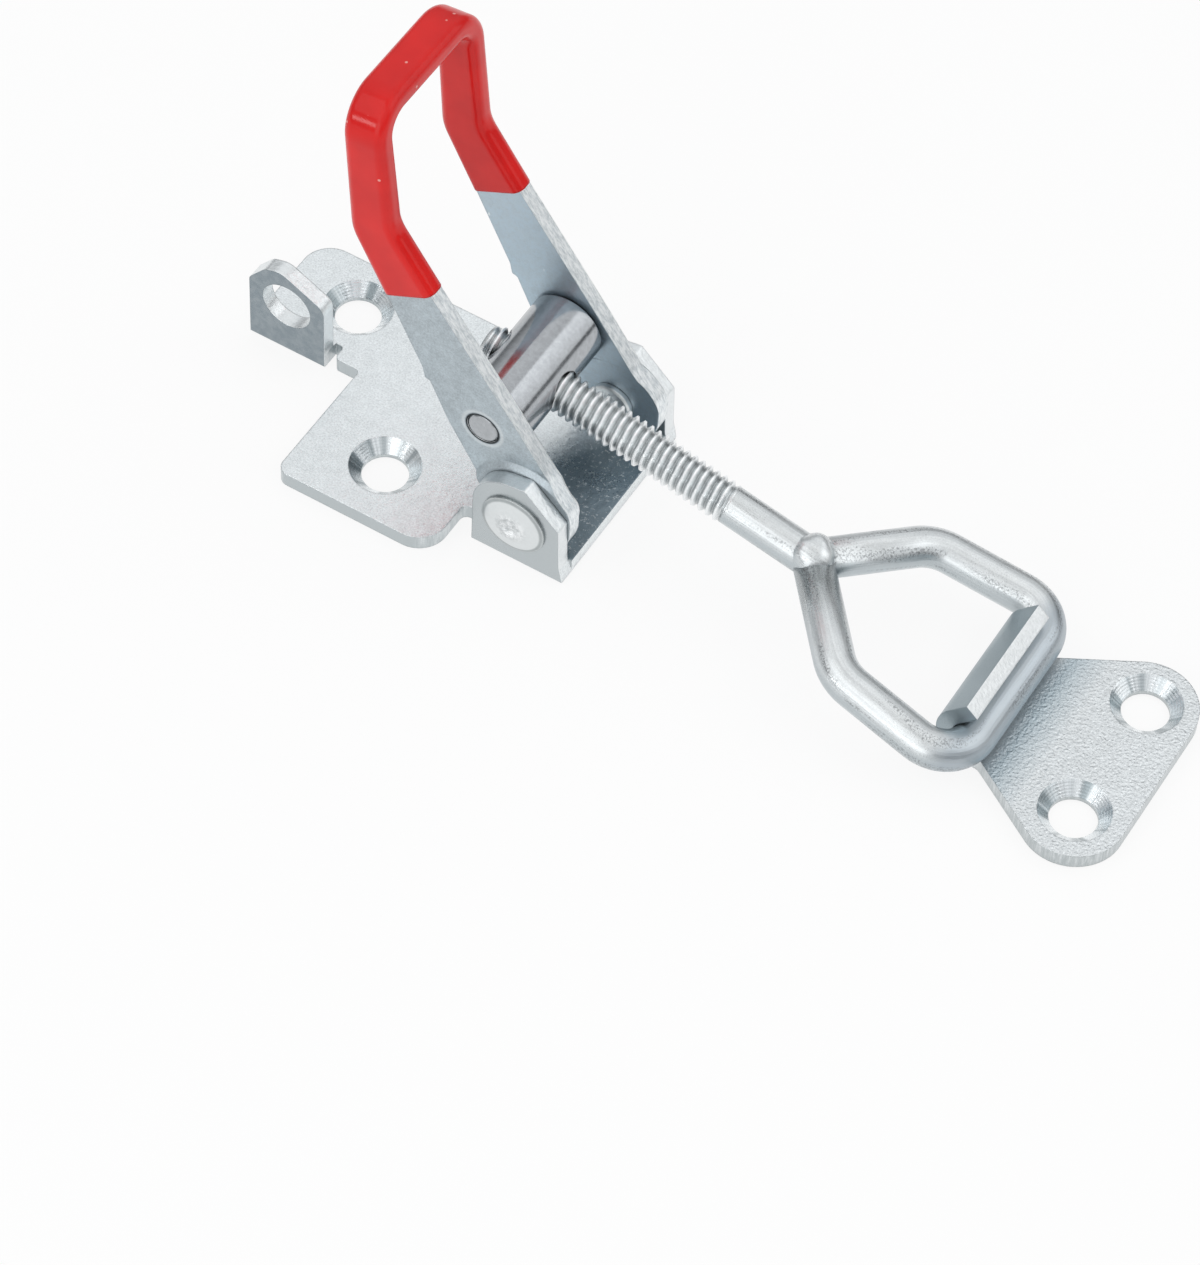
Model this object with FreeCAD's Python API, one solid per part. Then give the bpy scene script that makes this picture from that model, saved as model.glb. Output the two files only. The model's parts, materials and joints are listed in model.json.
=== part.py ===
import FreeCAD, Part
import math
import os

V = FreeCAD.Vector

# All sizes are in millimetres. X runs from the base towards the catch, Z is up from the
# mounting face, and the lever, the rod and the base are symmetrical about the plane y = 0.

# Sheet steel used for the base, the lever and the catch
SHEET = 2.5
BEND_INSIDE = 0.3
BEND_OUTSIDE = 0.5
RUNNING_GAP = 0.05
REST_GAP = 0.3

# Base plate
PIVOT_Z = 8.4
EAR_OUTSIDE = 16.1
EAR_REAR_X = -6.95
BASE_FRONT_X = 8.2
NEAR_SIDE_Y = -22.4
NEAR_REAR_X = -36.4
NEAR_FRONT_X = -10.2
FAR_SIDE_Y = 18.2
FAR_FRONT_X = -9.4
TAIL_NEAR_Y = -0.2
TAIL_CORNER_R = 4.5
SCREW_HOLE_R = 3.5
SCREW_SINK_R = 5.38
BASE_HOLES = [(-23.6, -13.1), (-43.25, 10.0)]

# Padlock ear on the tail of the base
PADLOCK_X = -48.7
PADLOCK_Z = 9.75
PADLOCK_HOLE_R = 4.13
PADLOCK_HALF = 6.5
PADLOCK_FACE_Y = -0.9

# Lever: one strip of sheet bent to a U, with its arms inside the ears of the base
EAR_TO_ARM = 0.76
BOSS_RISE = 0.71
ARM_OUTSIDE = EAR_OUTSIDE - SHEET - EAR_TO_ARM
ARM_INSIDE = ARM_OUTSIDE - SHEET
LEAN_DEG = 95.5
LEVER_TOP = 68.1
TOP_CORNER_R = 6.0
OPEN_DEG = 18.0
CLOSE_DEG = 58.5
ARM_END_R = 7.7
GRIP_SKIN = 0.55
GRIP_ROUND = 1.4

# Side outline of the lever's arms: its rear edge from the pivot upwards, then its front edge
REAR_FOOT = (-7.6, 8.0)
REAR_LOW = (-10.5, 14.2)
REAR_MID = (-13.6, 20.0)
REAR_STEP = (-16.4, 25.9)
REAR_STEP_DEPTH = 0.9
REAR_STEP_TOP = (-17.7, 28.1)
REAR_BEND = (-23.5, 39.5)
REAR_KNEE = (-29.2, 50.3)
REAR_TOP = (-31.2, 80.0)
FRONT_TOP = (-26.1, 80.0)
FRONT_KNEE = (-23.4, 53.3)
FRONT_BEND = (-16.2, 43.3)
FRONT_MID = (-3.1, 26.0)
FRONT_LOW = (3.2, 17.2)
KNEE_R = 8.0
BEND_R = 6.0
GRIP_END = (-34.0, 34.9)
GRIP_END_RISE = (24.0, 12.4)

# Barrel nut between the arms
BARREL_ARM = 14.9
BARREL_DEG = 120.7
BARREL_R = 5.8
SPIGOT_R = 2.5
BARREL_X = BARREL_ARM * math.cos(math.radians(BARREL_DEG))
BARREL_Z = PIVOT_Z + BARREL_ARM * math.sin(math.radians(BARREL_DEG))

# Rivets that carry the lever in the ears
RIVET_SHANK_R = 2.5
RIVET_HEAD_R = 5.18
RIVET_HEAD_H = 1.25
RIVET_TAIL_R = 3.35
RIVET_TAIL_H = 1.0

# Threaded rod with its wire loop
ROD_R = 3.2
SHANK_R = 2.92
WIRE_R = 3.0
ROD_TAIL = 7.6
THREAD_END = 34.8
JUNCTION = 48.6
BAR_X = 72.6
BAR_Z = SHEET + REST_GAP + WIRE_R
LOOP_HALF = 15.9
SHOULDER_IN = 2.1
SHOULDER = (61.2, LOOP_HALF - SHOULDER_IN)
LOOP_SHIFT_Y = -1.9
ROD_LENGTH = math.dist((BARREL_X, 0, BARREL_Z), (BAR_X, LOOP_SHIFT_Y, BAR_Z))
SHOULDER_R = 7.5
CORNER_R = 5.7
WELD_R = 3.3
WELD_RISE = 0.9

# Catch plate hooked over the bar of the loop
LOOP_TO_HOOK = 5.35
CATCH_NECK_HALF = LOOP_HALF - LOOP_TO_HOOK
NECK_AHEAD = 1.4
CATCH_NECK_X = BAR_X + NECK_AHEAD
HOLE_AHEAD = 15.3
CATCH_HOLE_X = CATCH_NECK_X + HOLE_AHEAD
PITCH_WIDER = 0.3
CATCH_HALF_PITCH = CATCH_NECK_HALF + PITCH_WIDER
HOOK_OFF_MIDDLE = 0.3
CATCH_SHIFT_Y = LOOP_SHIFT_Y + HOOK_OFF_MIDDLE
CATCH_LOBE_SHIFT_Y = -0.6
CATCH_LOBE_R = 7.6
CATCH_SINK_R = 5.3
HOOK_END_DEG = 138.0
HOOK_LIP = 3.9


def flat(x, y):
    return V(x, y, 0)


def side(x, z):
    return V(x, 0, z)


def cross(y, z):
    return V(0, y, z)


def outline(corners, place):
    """Closed face through (u, v, radius) corners, with an arc at each corner that has a radius."""
    starts, ends, arcs = [], [], []
    count = len(corners)
    for i, (u, v, radius) in enumerate(corners):
        if radius <= 0:
            starts.append((u, v))
            ends.append((u, v))
            arcs.append(None)
            continue
        before, after = corners[i - 1], corners[(i + 1) % count]
        a = (before[0] - u, before[1] - v)
        b = (after[0] - u, after[1] - v)
        la, lb = math.hypot(*a), math.hypot(*b)
        a, b = (a[0] / la, a[1] / la), (b[0] / lb, b[1] / lb)
        half = 0.5 * math.acos(max(-1.0, min(1.0, a[0] * b[0] + a[1] * b[1])))
        cut = radius / math.tan(half)
        c = (a[0] + b[0], a[1] + b[1])
        lc = math.hypot(*c)
        reach = radius / math.sin(half) - radius
        starts.append((u + a[0] * cut, v + a[1] * cut))
        ends.append((u + b[0] * cut, v + b[1] * cut))
        arcs.append((u + c[0] / lc * reach, v + c[1] / lc * reach))
    edges = []
    for i in range(count):
        if arcs[i]:
            edges.append(Part.Arc(place(*starts[i]), place(*arcs[i]), place(*ends[i])).toShape())
        p, q = place(*ends[i]), place(*starts[(i + 1) % count])
        if p.distanceToPoint(q) > 1e-6:
            edges.append(Part.makeLine(p, q))
    return Part.Face(Part.Wire(edges))


def slab(corners, place, start, reach):
    """The outline moved to start and extruded along reach."""
    face = outline(corners, place)
    face.translate(start)
    return face.extrude(reach)


def side_slab(corners, half_width):
    return slab(corners, side, V(0, -half_width, 0), V(0, 2 * half_width, 0))


def round_edges(shape, radius, wanted):
    """The shape with a fillet on every edge that wanted accepts."""
    edges = [e for e in shape.Edges if wanted(e)]
    return shape.makeFillet(radius, edges) if edges else shape


def screw_hole(x, y, sink_r):
    """Straight hole with a 90 degree countersink that opens at the top of the sheet."""
    hole = Part.makeCylinder(SCREW_HOLE_R, SHEET + 2, V(x, y, -1))
    depth = sink_r - SCREW_HOLE_R
    sink = Part.makeCone(SCREW_HOLE_R, sink_r + 0.5, depth + 0.5, V(x, y, SHEET - depth))
    return hole.fuse(sink)


def make_plate():
    half = EAR_OUTSIDE - SHEET - BEND_INSIDE
    ear_in = PADLOCK_FACE_Y + SHEET + BEND_INSIDE
    ear_front = PADLOCK_X + PADLOCK_HALF
    tail = PADLOCK_X - PADLOCK_HALF
    notch = half - 0.4
    corners = [
        (NEAR_REAR_X, NEAR_SIDE_Y, 1.8), (NEAR_FRONT_X, NEAR_SIDE_Y, 4.6),
        (NEAR_FRONT_X, -notch, 1.2), (EAR_REAR_X, -notch, 0), (EAR_REAR_X, -half, 0),
        (BASE_FRONT_X, -half, 0), (BASE_FRONT_X, half, 0), (EAR_REAR_X, half, 0),
        (EAR_REAR_X, notch, 0), (FAR_FRONT_X, notch, 0.8), (FAR_FRONT_X, FAR_SIDE_Y, 1.5),
        (tail, FAR_SIDE_Y, TAIL_CORNER_R), (tail, ear_in, 0), (ear_front, ear_in, 0),
        (ear_front, ear_in + 0.4, 0), (ear_front + 1.4, ear_in + 0.4, 0.6),
        (ear_front + 1.4, TAIL_NEAR_Y, 0.8), (NEAR_REAR_X, TAIL_NEAR_Y, 0.8),
    ]
    return slab(corners, flat, V(0, 0, 0), V(0, 0, SHEET))


def make_ears():
    """Both pivot ears with the strip of plate between them, cut to the ear profile."""
    inside = EAR_OUTSIDE - SHEET
    tall = 3 * PIVOT_Z
    corners = [
        (-EAR_OUTSIDE, 0, BEND_OUTSIDE), (EAR_OUTSIDE, 0, BEND_OUTSIDE), (EAR_OUTSIDE, tall, 0),
        (inside, tall, 0), (inside, SHEET, BEND_INSIDE), (-inside, SHEET, BEND_INSIDE),
        (-inside, tall, 0), (-EAR_OUTSIDE, tall, 0),
    ]
    channel = slab(corners, cross, V(EAR_REAR_X, 0, 0), V(BASE_FRONT_X - EAR_REAR_X, 0, 0))
    top = PIVOT_Z
    profile = [
        (EAR_REAR_X, -1, 0), (EAR_REAR_X, top + 6.6, 6.5), (1.5, top + 8.2, 0.5),
        (7.3, top + 2.6, 0.6), (7.6, 3.5, 3.0), (BASE_FRONT_X, 0.6, 0), (BASE_FRONT_X, -1, 0),
    ]
    ears = channel.common(side_slab(profile, EAR_OUTSIDE + 1))
    hole = Part.makeCylinder(RIVET_SHANK_R + RUNNING_GAP, 4 * EAR_OUTSIDE,
                             V(0, -2 * EAR_OUTSIDE, PIVOT_Z), V(0, 1, 0))
    return ears.cut(hole)


def make_padlock_ear():
    back = PADLOCK_FACE_Y + SHEET
    tall = 3 * PADLOCK_Z
    corners = [
        (back + BEND_INSIDE, 0, 0), (PADLOCK_FACE_Y, 0, BEND_OUTSIDE), (PADLOCK_FACE_Y, tall, 0),
        (back, tall, 0), (back, SHEET, BEND_INSIDE), (back + BEND_INSIDE, SHEET, 0),
    ]
    rear, front = PADLOCK_X - PADLOCK_HALF, PADLOCK_X + PADLOCK_HALF
    angle = slab(corners, cross, V(rear, 0, 0), V(front - rear, 0, 0))
    wide = PADLOCK_HALF
    profile = [
        (rear, -1, 0), (rear, PADLOCK_Z + 0.4 * wide, 1.5),
        (rear + 0.42 * wide, PADLOCK_Z + 0.91 * wide, 2.0),
        (PADLOCK_X - 0.15 * wide, PADLOCK_Z + 1.05 * wide, 3.0),
        (front, PADLOCK_Z + 0.45 * wide, 2.2), (front, -1, 0),
    ]
    ear = angle.common(side_slab(profile, 2 * wide))
    hole = Part.makeCylinder(PADLOCK_HOLE_R, 4 * wide, V(PADLOCK_X, -2 * wide, PADLOCK_Z), V(0, 1, 0))
    return ear.cut(hole)


def make_base_plate():
    base = make_plate().fuse([make_ears(), make_padlock_ear()]).removeSplitter()
    for x, y in BASE_HOLES:
        base = base.cut(screw_hole(x, y, SCREW_SINK_R))
    return base


def make_rivet(way):
    """Solid rivet through ear and arm; way is -1 on the near side and +1 on the far side."""
    inner = ARM_INSIDE + BOSS_RISE - RUNNING_GAP
    tail = inner - RIVET_TAIL_H
    out = EAR_OUTSIDE
    edge_h = 0.35
    rise = RIVET_HEAD_H - edge_h
    dome_r = (RIVET_HEAD_R ** 2 + rise ** 2) / (2 * rise)
    dimple_r = 1.9

    def dome(radius):
        return V(radius, out + RIVET_HEAD_H - dome_r + math.sqrt(dome_r ** 2 - radius ** 2), 0)

    # Half section from the tail inside the arm to the shallow dimple in the head
    rim = dome(dimple_r)
    floor = rim.y - 0.3
    low = [V(0, tail, 0), V(RIVET_TAIL_R - 0.3, tail, 0), V(RIVET_TAIL_R, tail + 0.3, 0),
           V(RIVET_TAIL_R, inner, 0), V(RIVET_SHANK_R, inner, 0), V(RIVET_SHANK_R, out, 0),
           V(RIVET_HEAD_R, out, 0), V(RIVET_HEAD_R, out + edge_h, 0)]
    high = [rim, V(0.6 * dimple_r, floor, 0), V(0, floor, 0), V(0, tail, 0)]
    edges = [Part.makeLine(p, q) for p, q in zip(low, low[1:])]
    edges.append(Part.Arc(low[-1], dome(0.5 * (RIVET_HEAD_R + dimple_r)), rim).toShape())
    edges += [Part.makeLine(p, q) for p, q in zip(high, high[1:])]
    rivet = Part.Face(Part.Wire(edges)).revolve(V(0, 0, 0), V(0, 1, 0), 360)
    if way < 0:
        rivet.rotate(V(0, 0, 0), V(0, 0, 1), 180)
    rivet.translate(V(0, 0, PIVOT_Z))
    return rivet


def lever_band(skin):
    """U of the lever in its own leaning plane, thickened by skin on both faces."""
    d = V(math.cos(math.radians(LEAN_DEG)), 0, math.sin(math.radians(LEAN_DEG)))
    w = V(d.z, 0, -d.x)
    outside, inside = ARM_OUTSIDE + skin, ARM_INSIDE - skin
    top, under = LEVER_TOP + skin, LEVER_TOP - SHEET - skin
    r_out, r_in = TOP_CORNER_R + skin, TOP_CORNER_R - SHEET - skin
    corners = [
        (-outside, -20, 0), (-outside, top, r_out), (outside, top, r_out), (outside, -20, 0),
        (inside, -20, 0), (inside, under, r_in), (-inside, under, r_in), (-inside, -20, 0),
    ]
    pivot = V(0, 0, PIVOT_Z)
    return slab(corners, lambda y, s: pivot + V(0, y, 0) + d * s - w * 45, V(0, 0, 0), w * 90)


def upper_profile(skin):
    """Side outline of the lever above the barrel, grown by skin, as rear and front edges."""
    rear = [(REAR_BEND[0] - skin, REAR_BEND[1], 4.0), (REAR_KNEE[0] - skin, REAR_KNEE[1], KNEE_R),
            (REAR_TOP[0] - skin, REAR_TOP[1], 0)]
    front = [(FRONT_TOP[0] + skin, FRONT_TOP[1], 0), (FRONT_KNEE[0] + skin, FRONT_KNEE[1], BEND_R),
             (FRONT_BEND[0] + skin, FRONT_BEND[1], BEND_R)]
    return rear, front


def lever_profile():
    rear, front = upper_profile(0.0)
    step = (REAR_STEP[0] - REAR_STEP_DEPTH, REAR_STEP[1] + 0.3)
    return [
        REAR_FOOT + (0,), REAR_LOW + (0,), REAR_MID + (0,), REAR_STEP + (0.5,), step + (0.4,),
        REAR_STEP_TOP + (1.0,)] + rear + front + [
        FRONT_MID + (12.0,), FRONT_LOW + (10.0,), (ARM_END_R, PIVOT_Z + 3.6, 4.0),
        (ARM_END_R, PIVOT_Z, 0), (ARM_END_R, -2.0, 0), (REAR_FOOT[0], -2.0, 0),
    ]


def foot_shape():
    """Outline that keeps the foot of the arms clear of the plate over the whole swing."""
    reach = PIVOT_Z - SHEET - REST_GAP
    shut = math.radians(-90.0 - CLOSE_DEG)
    wide = math.radians(-90.0 + OPEN_DEG)
    far = 90.0
    across = math.sqrt(ARM_END_R ** 2 - reach ** 2)

    def on_chord(angle, along):
        return (reach * math.cos(angle) - along * math.sin(angle),
                PIVOT_Z + reach * math.sin(angle) + along * math.cos(angle))

    def on_arc(angle, radius):
        return (radius * math.cos(angle), PIVOT_Z + radius * math.sin(angle))

    nose = math.atan2(on_chord(wide, across)[1] - PIVOT_Z, on_chord(wide, across)[0])
    points = [on_chord(shut, -far), on_chord(shut, 0), on_arc(0.5 * (shut + wide), reach),
              on_chord(wide, 0), on_chord(wide, across), on_arc(0.5 * nose, ARM_END_R),
              (ARM_END_R, PIVOT_Z)]
    p = [side(*q) for q in points]
    high = side(ARM_END_R, 2 * LEVER_TOP)
    edges = [Part.makeLine(p[0], p[1]), Part.Arc(p[1], p[2], p[3]).toShape(),
             Part.makeLine(p[3], p[4]), Part.Arc(p[4], p[5], p[6]).toShape(),
             Part.makeLine(p[6], high), Part.makeLine(high, p[0])]
    face = Part.Face(Part.Wire(edges))
    face.translate(V(0, -20, 0))
    return face.extrude(V(0, 40, 0))


def boss(way, radius_low, radius_high, low):
    """Flat cone round the pivot that rises outward from low by BOSS_RISE."""
    return Part.makeCone(radius_low, radius_high, BOSS_RISE, V(0, way * low, PIVOT_Z), V(0, way, 0))


def make_lever():
    profile = side_slab(lever_profile(), EAR_OUTSIDE).common(foot_shape())
    lever = lever_band(0.0).common(profile)
    for way in (-1, 1):
        lever = lever.fuse(boss(way, 9.0, 8.2, ARM_OUTSIDE).common(profile))
        lever = lever.cut(boss(way, 8.7, 7.9, ARM_INSIDE))
        start = V(0, way * (ARM_INSIDE - 1), 0)
        lever = lever.cut(Part.makeCylinder(RIVET_SHANK_R + RUNNING_GAP, SHEET + 3,
                                            start + V(0, 0, PIVOT_Z), V(0, way, 0)))
        lever = lever.cut(Part.makeCylinder(SPIGOT_R + RUNNING_GAP, SHEET + 3,
                                            start + V(BARREL_X, 0, BARREL_Z), V(0, way, 0)))
    return lever.removeSplitter()


def make_grip(lever):
    """Soft sleeve over the upper part of the lever, ending square across each arm."""
    rear, front = upper_profile(GRIP_SKIN)
    low_rear = (REAR_STEP_TOP[0] - GRIP_SKIN, REAR_STEP_TOP[1], 0)
    low_front = (FRONT_MID[0] + GRIP_SKIN, FRONT_MID[1], 0)
    body = lever_band(GRIP_SKIN).common(side_slab([low_rear] + rear + front + [low_front], EAR_OUTSIDE))
    end_low, end = side(*GRIP_END), side(*GRIP_END_RISE)
    end_high, far, high = end_low + end, 1.5 * GRIP_END[0], 1.2 * REAR_TOP[1]
    keep = side_slab([(end_low.x, end_low.z, 0), (end_high.x, end_high.z, 0),
                      (end_high.x, high, 0), (far, high, 0), (far, end_low.z, 0)], EAR_OUTSIDE)
    body = body.common(keep).removeSplitter()

    def long_edge(edge):
        for vertex in edge.Vertexes:
            p = vertex.Point
            off = ((p.x - end_low.x) * end.z - (p.z - end_low.z) * end.x) / end.Length
            if abs(off) > 0.01:
                return edge.Length > 0.5
        return False

    body = round_edges(body, GRIP_ROUND, long_edge)
    return body.cut(lever).removeSplitter()


def rod_frame():
    """Start of the rod line at the barrel's centre, with its direction to the bar's middle."""
    a = V(BARREL_X, 0, BARREL_Z)
    b = V(BAR_X, LOOP_SHIFT_Y, BAR_Z)
    return a, (b - a).normalize()


def make_barrel():
    """Round nut across the arms, with a spigot at each end and the threaded cross hole."""
    half = ARM_INSIDE - 0.09
    centre, along = rod_frame()
    body = Part.makeCylinder(BARREL_R, 2 * half, V(BARREL_X, -half, BARREL_Z), V(0, 1, 0))
    body = body.makeChamfer(0.45, [e for e in body.Edges if e.Closed])
    spigots = Part.makeCylinder(SPIGOT_R, 2 * ARM_OUTSIDE, V(BARREL_X, -ARM_OUTSIDE, BARREL_Z),
                                V(0, 1, 0))
    spigots = spigots.makeChamfer(0.25, [e for e in spigots.Edges if e.Closed])
    hole = Part.makeCylinder(ROD_R + RUNNING_GAP, 6 * BARREL_R, centre - along * (3 * BARREL_R), along)
    return body.fuse(spigots).cut(hole).removeSplitter()


def loop_half(way):
    """Half of the wire loop, from the weld to the middle of the bar, as one swept wire."""
    start, along = rod_frame()

    def at(s, y):
        return start + along * s + V(0, way * y, 0)

    def bend(before, corner, after, radius):
        a, b = (before - corner).normalize(), (after - corner).normalize()
        half = 0.5 * a.getAngle(b)
        cut = radius / math.tan(half)
        reach = radius / math.sin(half) - radius
        return corner + a * cut, corner + (a + b).normalize() * reach, corner + b * cut

    junction, middle = at(JUNCTION, 0), at(ROD_LENGTH, 0)
    shoulder, corner = at(*SHOULDER), at(ROD_LENGTH, LOOP_HALF)
    s1, s2, s3 = bend(junction, shoulder, corner, SHOULDER_R)
    c1, c2, c3 = bend(shoulder, corner, middle, CORNER_R)
    path = Part.Wire([
        Part.makeLine(junction, s1), Part.Arc(s1, s2, s3).toShape(), Part.makeLine(s3, c1),
        Part.Arc(c1, c2, c3).toShape(), Part.makeLine(c3, middle)])
    ring = Part.Wire(Part.makeCircle(WIRE_R, junction, (s1 - junction).normalize()))
    return path.makePipeShell([ring], True, False)


def make_hook_bolt():
    """Rod and wire loop: the thread is left as a plain cylinder of its outside diameter."""
    start, along = rod_frame()
    rod = Part.makeCylinder(ROD_R, THREAD_END + ROD_TAIL, start - along * ROD_TAIL, along)
    rod = rod.makeChamfer(0.7, [e for e in rod.Edges if e.Closed])
    shank = Part.makeCylinder(SHANK_R, JUNCTION - THREAD_END + 2, start + along * (THREAD_END - 2), along)
    weld = Part.makeSphere(WELD_R, start + along * JUNCTION + V(0, 0, WELD_RISE))
    return rod.fuse([shank, weld, loop_half(-1), loop_half(1)]).removeSplitter()


def catch_outline():
    """Flat part of the catch: two lobes round the holes, tapering to the neck."""
    reach = CATCH_HOLE_X - CATCH_NECK_X
    rise = CATCH_HALF_PITCH - CATCH_NECK_HALF
    slope = math.atan2(rise, reach) + math.asin(CATCH_LOBE_R / math.hypot(reach, rise))
    front = CATCH_HOLE_X + CATCH_LOBE_R
    wide = CATCH_NECK_HALF + (front - CATCH_NECK_X) * math.tan(slope)
    neck = CATCH_NECK_HALF
    low, high = CATCH_LOBE_SHIFT_Y - wide, CATCH_LOBE_SHIFT_Y + wide
    return [(BAR_X, -neck, 0), (CATCH_NECK_X, -neck, 2.0), (front, low, CATCH_LOBE_R),
            (front, high, CATCH_LOBE_R), (CATCH_NECK_X, neck, 2.0), (BAR_X, neck, 0)]


def make_hook():
    """Sheet rolled from under the bar, round its rear side and up to the lip."""
    inner = WIRE_R + REST_GAP
    outer = inner + SHEET
    turn = math.radians(HOOK_END_DEG)
    mid = 0.5 * (math.radians(270.0) + turn)
    lip = V(math.sin(turn), 0, -math.cos(turn)) * HOOK_LIP

    def at(radius, angle):
        return V(BAR_X + radius * math.cos(angle), 0, BAR_Z + radius * math.sin(angle))

    low = math.radians(270.0)
    face = Part.Face(Part.Wire([
        Part.Arc(at(outer, low), at(outer, mid), at(outer, turn)).toShape(),
        Part.makeLine(at(outer, turn), at(outer, turn) + lip),
        Part.makeLine(at(outer, turn) + lip, at(inner, turn) + lip),
        Part.makeLine(at(inner, turn) + lip, at(inner, turn)),
        Part.Arc(at(inner, turn), at(inner, mid), at(inner, low)).toShape(),
        Part.makeLine(at(inner, low), at(outer, low))]))
    face.translate(V(0, -CATCH_NECK_HALF, 0))
    return face.extrude(V(0, 2 * CATCH_NECK_HALF, 0))


def make_catch_plate():
    plate = slab(catch_outline(), flat, V(0, 0, 0), V(0, 0, SHEET))
    catch = plate.fuse(make_hook()).removeSplitter()
    for way in (-1, 1):
        catch = catch.cut(screw_hole(CATCH_HOLE_X, way * CATCH_HALF_PITCH, CATCH_SINK_R))
    catch.translate(V(0, CATCH_SHIFT_Y, 0))
    return catch


def main():
    os.makedirs("parts", exist_ok=True)
    lever = make_lever()
    parts = {
        "base_plate": make_base_plate(),
        "pivot_rivet_near": make_rivet(-1),
        "pivot_rivet_far": make_rivet(1),
        "lever": lever,
        "grip": make_grip(lever),
        "barrel": make_barrel(),
        "hook_bolt": make_hook_bolt(),
        "catch_plate": make_catch_plate(),
    }
    for name, shape in parts.items():
        solids = shape.Solids
        print(name, len(solids), "solid", shape.isValid(), "volume %.1f" % shape.Volume)
        body = solids[0] if len(solids) == 1 else shape
        body.exportStep("parts/%s.step" % name)


main()
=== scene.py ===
import json
import math

import bpy
from mathutils import Matrix, Vector


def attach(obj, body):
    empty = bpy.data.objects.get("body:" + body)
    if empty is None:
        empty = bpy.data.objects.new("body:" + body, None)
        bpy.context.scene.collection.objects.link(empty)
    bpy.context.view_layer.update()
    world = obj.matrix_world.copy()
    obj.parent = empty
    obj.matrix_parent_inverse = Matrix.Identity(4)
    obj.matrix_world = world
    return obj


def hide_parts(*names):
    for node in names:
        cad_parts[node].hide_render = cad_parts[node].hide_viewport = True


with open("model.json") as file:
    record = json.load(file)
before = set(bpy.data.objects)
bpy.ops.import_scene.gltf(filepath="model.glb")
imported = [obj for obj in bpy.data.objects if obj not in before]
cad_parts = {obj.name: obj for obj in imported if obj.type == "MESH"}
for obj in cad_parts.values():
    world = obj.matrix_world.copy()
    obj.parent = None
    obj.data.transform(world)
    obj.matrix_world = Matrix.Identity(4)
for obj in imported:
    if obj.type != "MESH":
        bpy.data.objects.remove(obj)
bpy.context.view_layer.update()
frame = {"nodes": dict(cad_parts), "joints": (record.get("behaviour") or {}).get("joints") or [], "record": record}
nodes = frame["nodes"]
joints = {j["name"]: j for j in frame["joints"]}

MM = 0.001


def mm(*values):
    """Millimetres as the scene's metres."""
    return tuple(value * MM for value in values)


# Places taken from the frame
BARREL = Vector(joints["barrel_turn"]["pos_m"])
ALONG = Vector(joints["rod_adjust"]["axis"]).normalized()
BAR = Vector(joints["catch_swing"]["pos_m"])
PIVOT = Vector(joints["lever_pivot"]["pos_m"])
MOUNTS = {m["name"]: m for m in frame["record"]["mounts"]}

# Sheet steel, and the way from the middle of each pair of screw holes to one of them
SHEET = 2.5 * MM
BASE_HOLES_HALF = Vector((9.825, -11.55, 0)) * MM
CATCH_HOLES_HALF = Vector((0, MOUNTS["catch_holes"]["dims"]["spacing_y_mm"] / 2, 0)) * MM

# Borders of the tones on the steel pieces: none of a tone at its first place and all of it at the second.
# A ring has four: its start, the two borders of its full part, and its end
TAIL_EAR_X = mm(-38, -40)
ROD_SHADE_SLANT = mm(-7.5, -3.0)
ROD_SHADE_Y = mm(14.5, 13.0)
ROD_SHADE_X = mm(-8.0, -6.5)
EAR_EDGES_Z = (SHEET + 0.2 * MM, SHEET + 0.4 * MM)
BASE_RIM_Z = (SHEET + 0.2 * MM, SHEET)
BASE_RIM_X = mm(-7, -8)
TAIL_BEND_X = mm(-41.5, -42)
TAIL_BEND_Y = mm(0.5, 0.2)
FAR_ARM_Y = mm(0, 2)
SPIGOT_GAP_SHADE = mm(2.4, 2.55, 2.75, 2.95)
SPIGOT_RING_HIGHLIGHT = mm(2.9, 3.1, 3.3, 3.7)
CATCH_FLAT_X = mm(75, 77)
CATCH_SHADE_X = mm(82, 76)
HOOK_X = mm(74, 73)
HOOK_Z = mm(3.0, 4.0)
CATCH_RIM_X = mm(73, 75)
RIVET_HEAD = mm(4.7, 4.4)
RIVET_MIDDLE = mm(2.9, 1.7)
RIVET_RING = mm(4.5, 4.7, 4.9, 5.1)
SINK_OUTSIDE = mm(7.0, 6.5)
SINK_RING_PITCH = 0.33 * MM

# Scales of the plating's blotches and patches, per metre, and how far the painted shade of a crease reaches
BLOTCH_SCALE = 90.0
PATCH_SCALE = 650.0
CREASE_SHADE_REACH = 3.0 * MM

# Scale of the sheared lines on each axis, per metre: lowest the way the lines run
UPRIGHT_SHEAR = (800.0, 2800.0, 800.0)
LEVEL_SHEAR = (2600.0, 2600.0, 260.0)
LIP_SHEAR = (1500.0, 2600.0, 1500.0)

# Rod and loop, measured along the rod from the barrel's centre
ROD_R = 3.2 * MM
SHANK_R = 2.92 * MM
WIRE_R = 3.0 * MM
ROD_TAIL = 7.6 * MM
THREAD_END = 34.8 * MM
JUNCTION = 48.6 * MM
BAR_AT = (BAR - BARREL).dot(ALONG)
SHOULDER = (61.2 * MM, 13.8 * MM)
LOOP_HALF = 15.9 * MM
SHOULDER_R = 7.5 * MM
CORNER_R = 5.7 * MM
WELD_R = 3.35 * MM
WELD_RISE = 0.9 * MM
WELD_LUMPS = 0.022

# Rolled thread: flats and the seam's depth are parts of a ridge's height, SEAM_HALF is one of the pitch
PITCH = 1.27 * MM
ROOT_R = 2.5 * MM
ROOT_FLAT = 0.08
CREST_FLAT = 0.16
SEAM_DEPTH = 0.16
SEAM_HALF = 0.07
RUN_IN = 1.0 * MM
RUN_OUT = 1.2 * MM
UNDER_SHANK = 0.02 * MM

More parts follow.
